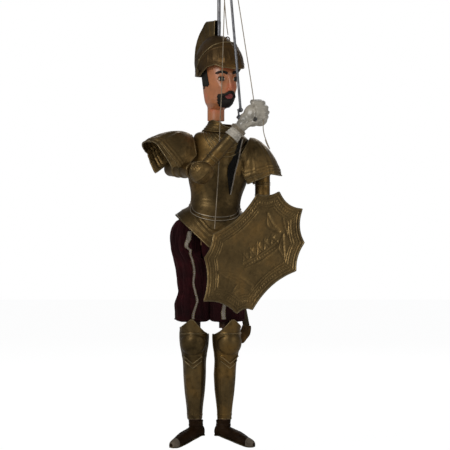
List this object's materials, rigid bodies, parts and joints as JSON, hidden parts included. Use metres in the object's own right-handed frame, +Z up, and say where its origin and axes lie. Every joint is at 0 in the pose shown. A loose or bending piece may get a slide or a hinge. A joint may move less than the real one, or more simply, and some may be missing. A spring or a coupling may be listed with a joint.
{
  "type": "armoured knight marionette",
  "caption": "Carved wooden knight puppet in sheet-brass armour with shield and scabbard, hung from a main rod and worked by a hand rod and strings.",
  "frame": {"origin": "top of the hole in the main rod's hook, where the carrying hook or rail bears", "axes": "+Z up along the main rod, -Y to the puppet's front, +X to the puppet's left hand"},
  "size_m": [0.3284, 0.31, 1.1869],
  "materials": {
    "steel": "dull steel wire and rod, lightly rusted",
    "grip_wood": "turned hardwood, worn",
    "skin_paint": "painted wood, satin",
    "dark_brass": "tarnished brass sheet",
    "brass": "aged brass sheet",
    "body_wood": "plain softwood",
    "limb_wood": "dark stained wood",
    "gauntlet_paint": "wood painted as steel",
    "cuff_cloth": "pale ribbed cloth",
    "velvet": "maroon velvet",
    "leather": "dark brown leather, worn",
    "scabbard_skin": "dark olive covering with a metal tip",
    "string": "twisted cotton string"
  },
  "bodies": {
    "rod_body": {"main_rod": "steel", "rod_grip": "grip_wood", "string_eye": "steel", "head": "skin_paint", "helmet_skull": "dark_brass", "helmet_crest": "dark_brass", "visor_rivets": "dark_brass", "helmet_eyelet": "dark_brass", "helmet_string": "string"},
    "visor": {"visor": "dark_brass"},
    "neck_link": {"neck_yoke": "steel", "neck_pin": "steel"},
    "torso": {"torso_block": "body_wood", "neck_eye": "steel", "breastplate": "brass", "backplate": "brass", "gorget": "brass", "fauld": "brass", "breeches_seat": "velvet", "shoulder_bar": "steel", "hip_axle": "steel", "pauldron_hinges": "steel", "scabbard_hanger": "leather"},
    "pauldron_right": {"pauldron_right": "brass"},
    "pauldron_left": {"pauldron_left": "brass"},
    "knuckle_right": {"shoulder_knuckle_right": "steel"},
    "knuckle_left": {"shoulder_knuckle_left": "steel"},
    "upper_arm_right": {"upper_arm_right": "brass"},
    "upper_arm_left": {"upper_arm_left": "brass"},
    "forearm_right": {"forearm_right": "brass", "elbow_pin_right": "steel", "elbow_cop_right": "brass", "cuff_right": "cuff_cloth", "fist_right": "gauntlet_paint", "wrist_tie": "string", "sword_string_tail": "string"},
    "forearm_left": {"forearm_left": "brass", "elbow_pin_left": "steel", "elbow_cop_left": "brass", "cuff_left": "cuff_cloth", "fist_left": "gauntlet_paint"},
    "wrist_link": {"wrist_link": "steel"},
    "hand_rod": {"hand_rod": "steel", "sword_string": "string"},
    "shield": {"shield": "brass", "shield_grip": "steel", "shield_string": "string"},
    "scabbard": {"scabbard": "scabbard_skin"},
    "thigh_right": {"thigh_right": "limb_wood", "breeches_right": "velvet"},
    "thigh_left": {"thigh_left": "limb_wood", "breeches_left": "velvet"},
    "shin_right": {"shin_right": "limb_wood", "knee_pin_right": "steel", "greave_right": "brass", "shoe_right": "leather"},
    "shin_left": {"shin_left": "limb_wood", "knee_pin_left": "steel", "greave_left": "brass", "shoe_left": "leather"}
  },
  "joints": [
    {"name": "visor_hinge", "type": "hinge", "parent": "rod_body", "child": "visor", "pos_m": [-0.00481, 0.00639, -0.43], "axis": [0.7986, 0.6018, 0], "range_deg": [0, 32]},
    {"name": "neck_turn", "type": "hinge", "parent": "rod_body", "child": "neck_link", "pos_m": [0, 0, -0.584], "axis": [0, 0, 1], "range_deg": [-45, 45]},
    {"name": "neck_tilt", "type": "hinge", "parent": "neck_link", "child": "torso", "pos_m": [0, 0, -0.584], "axis": [1, 0, 0], "range_deg": [-2, 7]},
    {"name": "pauldron_right_hinge", "type": "hinge", "parent": "torso", "child": "pauldron_right", "pos_m": [-0.062, 0, -0.562], "axis": [-0.2383, 0.9272, -0.2891], "range_deg": [0, 20]},
    {"name": "pauldron_left_hinge", "type": "hinge", "parent": "torso", "child": "pauldron_left", "pos_m": [0.063, 0, -0.567], "axis": [0, 1, 0], "range_deg": [-20, 0]},
    {"name": "shoulder_turn_right", "type": "hinge", "parent": "torso", "child": "knuckle_right", "pos_m": [-0.095, 0, -0.624], "axis": [0, 0, 1], "range_deg": [-35, 6]},
    {"name": "shoulder_raise_right", "type": "hinge", "parent": "knuckle_right", "child": "upper_arm_right", "pos_m": [-0.095, 0, -0.624], "axis": [0.8643, 0.503, 0], "range_deg": [-4, 35]},
    {"name": "elbow_right", "type": "hinge", "parent": "upper_arm_right", "child": "forearm_right", "pos_m": [-0.03396, -0.10488, -0.62994], "axis": [0.6611, 0.42, -0.6218], "range_deg": [-8, 45]},
    {"name": "wrist_link_pivot", "type": "hinge", "parent": "forearm_right", "child": "wrist_link", "pos_m": [0.039, -0.101, -0.524], "axis": [0.6611, 0.42, -0.6218], "range_deg": [-46, 9]},
    {"name": "hand_rod_pivot", "type": "hinge", "parent": "wrist_link", "child": "hand_rod", "pos_m": [0.038, -0.104, -0.51], "axis": [0.8643, 0.503, 0], "range_deg": [-36, 9], "deforming": ["sword_string"]},
    {"name": "shoulder_turn_left", "type": "hinge", "parent": "torso", "child": "knuckle_left", "pos_m": [0.087, 0, -0.624], "axis": [0, 0, 1], "range_deg": [0, 30]},
    {"name": "shoulder_raise_left", "type": "hinge", "parent": "knuckle_left", "child": "upper_arm_left", "pos_m": [0.087, 0, -0.624], "axis": [-0.9972, -0.075, 0], "range_deg": [0, 25]},
    {"name": "elbow_left", "type": "hinge", "parent": "upper_arm_left", "child": "forearm_left", "pos_m": [0.087, 0, -0.7455], "axis": [-0.9972, -0.075, 0], "range_deg": [-16, 15]},
    {"name": "shield_turn", "type": "hinge", "parent": "forearm_left", "child": "shield", "pos_m": [0.09523, -0.13097, -0.79685], "axis": [-0.4018, 0.5247, 0.7505], "range_deg": [-6, 6], "deforming": ["shield_string"]},
    {"name": "scabbard_swing", "type": "hinge", "parent": "torso", "child": "scabbard", "pos_m": [0.014, 0.063, -0.734], "axis": [1, 0, 0], "range_deg": [0, 35]},
    {"name": "hip_right", "type": "hinge", "parent": "torso", "child": "thigh_right", "pos_m": [-0.049, 0, -0.756], "axis": [-1, 0, 0], "range_deg": [-10, 25]},
    {"name": "hip_left", "type": "hinge", "parent": "torso", "child": "thigh_left", "pos_m": [0.012, 0, -0.756], "axis": [-1, 0, 0], "range_deg": [-5, 25]},
    {"name": "knee_right", "type": "hinge", "parent": "thigh_right", "child": "shin_right", "pos_m": [-0.049, 0, -0.966], "axis": [1, 0, 0], "range_deg": [0, 65]},
    {"name": "knee_left", "type": "hinge", "parent": "thigh_left", "child": "shin_left", "pos_m": [0.012, 0, -0.966], "axis": [1, 0, 0], "range_deg": [0, 65]}
  ],
  "couplings": [
    {"joint": "wrist_link_pivot", "follows": "elbow_right", "ratio": -1},
    {"joint": "hand_rod_pivot", "follows": "shoulder_raise_right", "ratio": -1}
  ]
}
